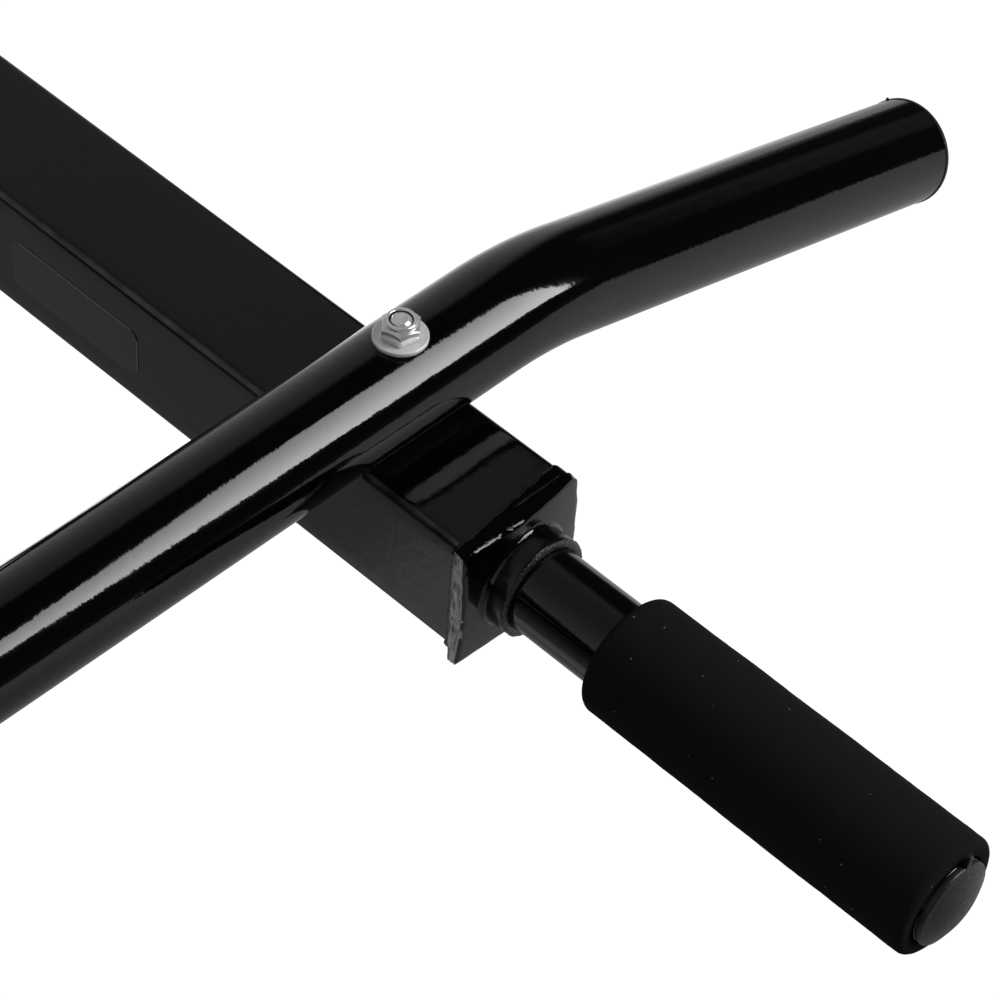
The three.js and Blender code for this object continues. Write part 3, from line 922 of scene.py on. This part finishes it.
def nut_rings():
    height = 4.3
    plain = [(2.75, 0.5), (3.1, 0.0), (4.6, 0.0)]
    rings = [lambda h, a, p=p: p for p in plain]
    rings += [
        lambda h, a: (h - 0.12, chamfer(h, 4.6) * 0.5 + 0.02),
        lambda h, a: (h, chamfer(h, 4.6) * 0.5 + 0.14),
        lambda h, a: (h, height - chamfer(h) - 0.16),
        lambda h, a: (h - 0.03, height - chamfer(h) - 0.06),
        lambda h, a: (h - 0.13, height - chamfer(h)),
        lambda h, a: (CHAMFER, height),
    ]
    crown = [(4.5, 4.32), (4.36, 4.42), (4.32, 4.6), (4.32, 5.0), (4.26, 5.26), (4.1, 5.47), (3.9, 5.58)]
    crown += [(3.66, 5.6), (3.44, 5.55), (3.3, 5.42), (3.26, 5.25), (3.5, 5.15), (3.9, 5.1), (3.9, 3.2), (2.75, 3.2)]
    return rings + [lambda h, a, p=p: p for p in crown]


def nut(side, x):
    place = at(x, FASTENER_Y, washer_high.z, Matrix.Rotation(HEX_TURN, 4, "Z"))
    mesh = hex_solid("nut", nut_rings(), 144, place, True, 60)
    piece(f"nylock_nut_{side}", mesh, ZINC, "zinc_plate", f"lock_nut_{side}")
    insert = [(3.8, 3.3, 0.1), (3.8, 5.05, 0.3), (3.0, 4.95, 0.3), (3.0, 3.3, 0.1)]
    mesh = turned("insert", rounded(insert), 64, at(x, FASTENER_Y, washer_high.z))
    piece(f"nut_insert_{side}", mesh, NYLON, "nylon", f"nylon_insert_{side}")


def washer(name, node, slot_low, slot_high, x, flip):
    """A punched washer: rounded on the side the punch came from, with a slight burr on the other."""
    thick, outer = slot_high.z - slot_low.z, (slot_high.x - slot_low.x) / 2
    profile = rounded([(outer, 0, 0.12), (outer, thick, 0.35), (3.3, thick, 0.25), (3.3, 0, 0.1)], 4)

    def varied(radius, along, angle):
        spot = (radius * math.cos(angle), radius * math.sin(angle), along)
        return radius + 0.03 * rough(spot, 1.5, 8.0), along + 0.015 * rough(spot, 3.0, 2.0)

    turn = Matrix.Rotation(math.pi, 4, "X") if flip else UP
    z = slot_high.z if flip else slot_low.z
    mesh = turned("washer", spaced(profile, 0.8), 120, at(x, FASTENER_Y, z, turn), shape=varied)
    piece(name, mesh, DULL_ZINC, "zinc_plate", node)


def bolt(side, x):
    """An M6 hexagon bolt that comes up from under the arm, threaded along its last 14 mm."""
    seat = head_washer_low.z
    end = washer_high.z + 5.7 - seat
    rings = [lambda h, a, r=r: (r, -HEAD_HEIGHT) for r in (0, 1.5, 4.55)]
    rings += [
        lambda h, a: (h - 0.12, chamfer(h) - HEAD_HEIGHT),
        lambda h, a: (h, chamfer(h) - HEAD_HEIGHT + 0.12),
        lambda h, a: (h, -0.2),
        lambda h, a: (h - 0.1, -0.05),
        lambda h, a: (4.5, 0.0),
        lambda h, a: (3.15, 0.0),
        lambda h, a: (THREAD_RADIUS, 0.25),
        lambda h, a: (THREAD_RADIUS, end - THREAD_LENGTH - 1.0),
    ]

    def thread(level):
        """A ring of the thread, which runs out at its start and has a chamfered end."""

        def ring(h, a):
            share = (level / PITCH - a / (2 * math.pi)) % 1
            depth = 0.33 * (1 - abs(2 * share - 1)) * min(1, (level - end + THREAD_LENGTH) / 1.5)
            return min(THREAD_RADIUS - depth, 2.15 + (end - level) * 1.1), level

        return ring

    level = end - THREAD_LENGTH
    while level < end - 0.02:
        rings.append(thread(level))
        level += PITCH / 8
    rings += [thread(end), lambda h, a: (1.98, end - 0.1), lambda h, a: (1.7, end - 0.06), lambda h, a: (0, end - 0.04)]
    place = at(x, FASTENER_Y, seat, Matrix.Rotation(HEX_TURN, 4, "Z"))
    mesh = hex_solid("bolt", rings, 72, place, False, 50)
    piece(f"hex_bolt_{side}", mesh, ZINC, "zinc_plate", f"bolt_{side}")


# ------------------------------------------------------------------ label


def label():
    """A blank film on the inner side of the right arm, with its edge pressed down."""
    half_y, half_z = (label_high.y - 3.6 - label_low.y) / 2, (label_high.z - 3.0 - label_low.z) / 2
    mid_y, mid_z = label_low.y + half_y, label_low.z + half_z
    rings = []
    for inset, off in ((0, 0.0), (0, 0.14), (0.1, 0.24), (0.35, 0.25), (2.0, 0.25)):
        outline = round_square(half_y - inset, half_z - inset, 3.4 - min(inset, 1), 10, 16)
        rings.append([(label_high.x - off, mid_y + a, mid_z + b) for a, b, _ in outline])
    mesh = lofted("label", rings, capped=True)
    piece("blank_label", mesh, FILM, "label_film", "arm_label")
    mesh.materials.append(FILM_EDGE_HIGHLIGHT)
    # the lighter edge colour goes on the two edges that face the light, as painted highlight
    for polygon in mesh.polygons:
        y, z = polygon.center.y / MM - mid_y, polygon.center.z / MM - mid_z
        if y < 0.3 - half_y or z > half_z - 0.3:  # the two edges that catch the light
            polygon.material_index = 1


for side, mirror in (("left", True), ("right", False)):
    for build in (arm, brace, wall_plate, end_plate, arm_weld, rear_welds, handle_welds):
        build(side, mirror)
    for build in (collar, handle_tube, foam_grip, handle_plug, bar_plug):
        build(side, mirror)
    x = -ARM_X if mirror else ARM_X
    washer(f"washer_under_nut_{side}", f"nut_washer_{side}", washer_low, washer_high, x, False)
    washer(f"washer_under_head_{side}", f"head_washer_{side}", head_washer_low, head_washer_high, x, True)
    bolt(side, x)
    nut(side, x)
label()


# ------------------------------------------------------------------ studio

FLOOR_HEIGHT = -0.9
AMBIENT = 0.02  # of the room, where nothing glows
SEEN_FLOOR, SEEN_ROOM = 1.05, 1.0  # whites that the camera sees


def studio_material(name):
    material = bpy.data.materials.new(name)
    material.use_nodes = True
    tree = material.node_tree
    tree.nodes.clear()
    out = tree.nodes.new("ShaderNodeOutputMaterial")
    glow = tree.nodes.new("ShaderNodeEmission")
    tree.links.new(glow.outputs["Emission"], out.inputs["Surface"])
    return material, tree, glow


def eased(tree, value, low, high, to_low, to_high):
    return range_node(tree, value, low, high, to_low, to_high, smooth_step=True)


def added(tree, first, *others):
    return reduce(lambda a, b: math_node(tree, "ADD", a, b), others, first)


def multiplied(tree, first, *others):
    return reduce(lambda a, b: math_node(tree, "MULTIPLY", a, b), others, first)


def position(tree, kind):
    """X, Y and Z of the place in an object, or of the direction in the room."""
    node = tree.nodes.new("ShaderNodeSeparateXYZ")
    tree.links.new(tree.nodes.new("ShaderNodeTexCoord").outputs[kind], node.inputs["Vector"])
    return [node.outputs[k] for k in "XYZ"]


def seen_white(tree, value, white):
    """The value, but white where the camera looks straight at it."""
    path = tree.nodes.new("ShaderNodeLightPath")
    node = tree.nodes.new("ShaderNodeMix")
    tree.links.new(path.outputs["Is Camera Ray"], node.inputs["Factor"])
    tree.links.new(value, node.inputs["A"])
    node.inputs["B"].default_value = white
    return node.outputs["Result"]


def floor():
    """A pale floor, plain white to the camera, that glows instead of being lit: painted light, brightest behind the
    object and to its right.
    """
    mesh = bpy.data.meshes.new("floor")
    mesh.from_pydata([(-40, -40, 0), (40, -40, 0), (40, 40, 0), (-40, 40, 0)], [], [(0, 1, 2, 3)])
    o = in_scene("floor", mesh)
    o.location.z = FLOOR_HEIGHT
    material, tree, glow = studio_material("floor")
    x, y, _ = position(tree, "Object")
    # painted light: the glow rises slowly from left to right, and faster further right
    across = added(tree, eased(tree, x, -4.5, 0.6, 0.07, 0.27), eased(tree, x, 0.55, 1.7, 0, 0.3))
    # a painted pool of light behind the object, which fades with distance and ends at a slanting edge
    behind = added(tree, multiplied(tree, x, 0.6), multiplied(tree, y, 0.8))
    fade = math_node(tree, "EXPONENT", multiplied(tree, math_node(tree, "SUBTRACT", 0.85, behind), 0.5))
    turn = math_node(tree, "ARCTAN2", added(tree, y, 0.47), math_node(tree, "SUBTRACT", x, 0.4))
    start = eased(tree, behind, 0.8, 0.95, 0, 1.25)
    slant = eased(tree, turn, math.radians(38.5), math.radians(44), 0, 1)
    bright = multiplied(tree, fade, start, slant, eased(tree, x, -0.3, 0.5, 0, 1))
    # a painted pool of light under the object's left half
    rear_edge, front_edge = eased(tree, y, 0.12, 0.2, 0.26, 0), eased(tree, y, -0.6, -0.2, 0, 1)
    left_edge, right_edge = eased(tree, x, -1.2, -0.7, 0, 1), eased(tree, x, -0.35, -0.1, 1, 0)
    near = multiplied(tree, rear_edge, front_edge, left_edge, right_edge)
    # far in front the glow is painted dark
    ahead = added(tree, multiplied(tree, y, -1.0), multiplied(tree, x, -0.6))
    total = multiplied(tree, added(tree, across, bright, near), eased(tree, ahead, 4.0, 5.0, 1, 0.08))
    tree.links.new(seen_white(tree, total, SEEN_FLOOR), glow.inputs["Strength"])
    mesh.materials.append(material)


def softbox():
    """The one bright light, high in front on the right. It is seen in the gloss but not by the camera."""
    toward = Vector((0.5, -0.62, 0.6)).normalized()
    across = Vector((0, 0, 1)).cross(toward).normalized()
    up = toward.cross(across)
    centre = Vector((0.2, -0.47, 0.18)) + toward * 1.5
    right_side = [(0.3, -0.66), (0.35, -0.56), (0.38, 0.5), (0.34, 0.56)]
    left_side = [(-0.45, 0.3), (-0.45, 0.24), (-0.27, -0.07), (-0.22, -0.28), (-0.1, -0.47)]
    corners = right_side + left_side
    mesh = bpy.data.meshes.new("softbox")
    mesh.from_pydata([(a, b, 0) for a, b in corners], [], [tuple(range(len(corners)))])
    o = in_scene("softbox", mesh)
    place = Matrix((across, up, toward)).transposed().to_4x4()
    place.translation = centre
    o.matrix_world = place
    material, tree, glow = studio_material("softbox")
    strength = eased(tree, position(tree, "Object")[1], -0.65, 0.65, 11.0, 4.4)
    tree.links.new(strength, glow.inputs["Strength"])
    mesh.materials.append(material)
    o.visible_camera = False


def room():
    """A dark room with one pale wall behind the object and to its left, which fades upwards."""
    world = bpy.data.worlds.new("room")
    world.use_nodes = True
    bpy.context.scene.world = world
    tree = world.node_tree
    x, y, z = position(tree, "Generated")
    # the pale wall, which is interrupted low down on the left
    flat = math_node(tree, "SQRT", added(tree, multiplied(tree, x, x), multiplied(tree, y, y)))
    toward = added(tree, multiplied(tree, x, -0.6), multiplied(tree, y, 0.8))
    facing = math_node(tree, "DIVIDE", toward, math_node(tree, "MAXIMUM", flat, 0.05))
    upward = math_node(tree, "SUBTRACT", 0.56, multiplied(tree, z, 0.42))
    gap = multiplied(tree, eased(tree, x, -0.75, -0.45, 1, 0), eased(tree, z, 0.04, 0.13, 1, 0))
    wall = multiplied(tree, eased(tree, facing, -0.1, 0.11, 0, 1), upward, math_node(tree, "SUBTRACT", 1.0, gap))
    # a small dim glow on the right, a third of the way up
    sides = multiplied(tree, eased(tree, y, -0.22, -0.05, 0, 0.085), eased(tree, y, 0.2, 0.38, 1, 0))
    heights = multiplied(tree, eased(tree, z, 0.26, 0.34, 0, 1), eased(tree, z, 0.37, 0.48, 1, 0))
    glow = multiplied(tree, sides, heights, eased(tree, x, 0, 0.5, 0, 1))
    total = added(tree, wall, glow, AMBIENT)
    background = tree.nodes["Background"]
    background.inputs["Color"].default_value = (1, 1, 1, 1)
    tree.links.new(seen_white(tree, total, SEEN_ROOM), background.inputs["Strength"])


def camera():
    data = bpy.data.cameras.new("camera")
    data.lens, data.sensor_width = 133.954, 36.0
    data.clip_start, data.clip_end = 0.05, 100.0
    o = in_scene("camera", data)
    o.location = Vector((-216.14, -944.3, 864.7)) * MM
    o.rotation_euler = [math.radians(a) for a in (43.2112, -3.0703, -45.4835)]
    bpy.context.scene.camera = o


floor()
softbox()
room()
camera()
bpy.context.scene.view_settings.view_transform = "Standard"
bpy.context.scene.cycles.use_denoising = True
